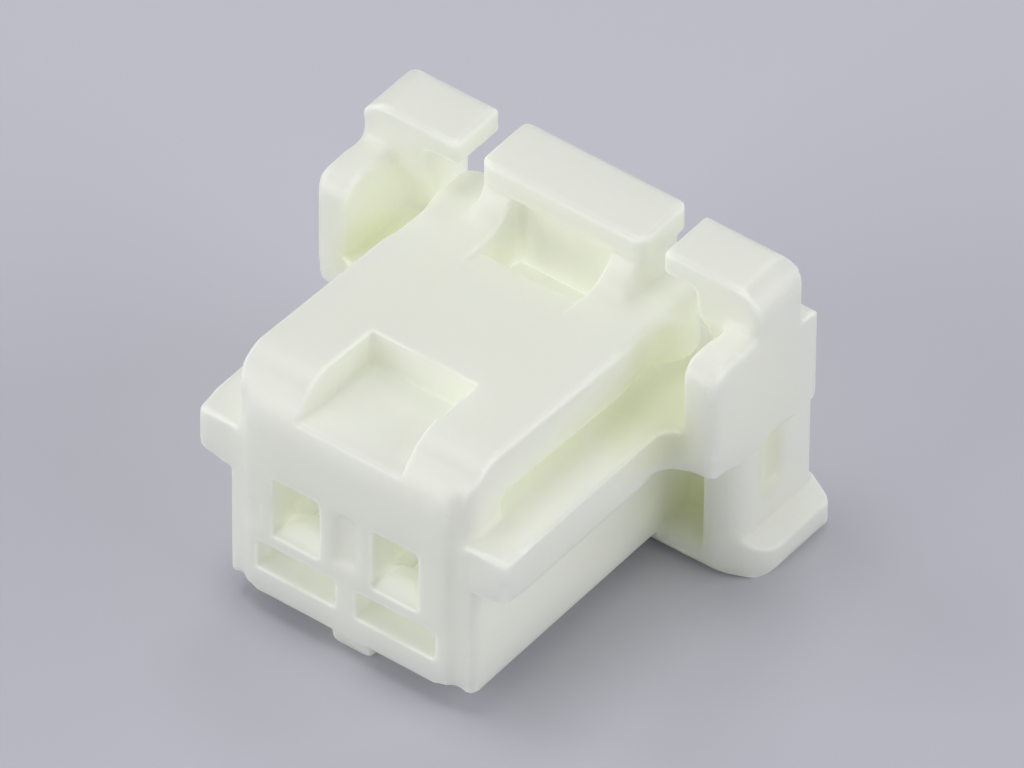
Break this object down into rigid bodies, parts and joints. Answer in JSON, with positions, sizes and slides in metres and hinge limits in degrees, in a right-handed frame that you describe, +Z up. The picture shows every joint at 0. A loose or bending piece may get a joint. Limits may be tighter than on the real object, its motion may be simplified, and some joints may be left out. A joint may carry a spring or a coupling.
{
  "type": "wire to board connector housing",
  "caption": "Moulded crimp receptacle housing with square pin openings, a front-hinged latch lever with thumb pocket, guard arms, side rails and a footed flange.",
  "frame": {"origin": "under the middle of the part's length and width, on the plane its key and feet rest on", "axes": "+X across the two terminal cavities, +Y from the mating face to the wire face, +Z up towards the latch lever"},
  "size_m": [0.0086, 0.0074, 0.0059],
  "materials": {
    "nylon": "natural translucent nylon, satin"
  },
  "bodies": {
    "root": {"housing": "nylon"}
  },
  "joints": []
}
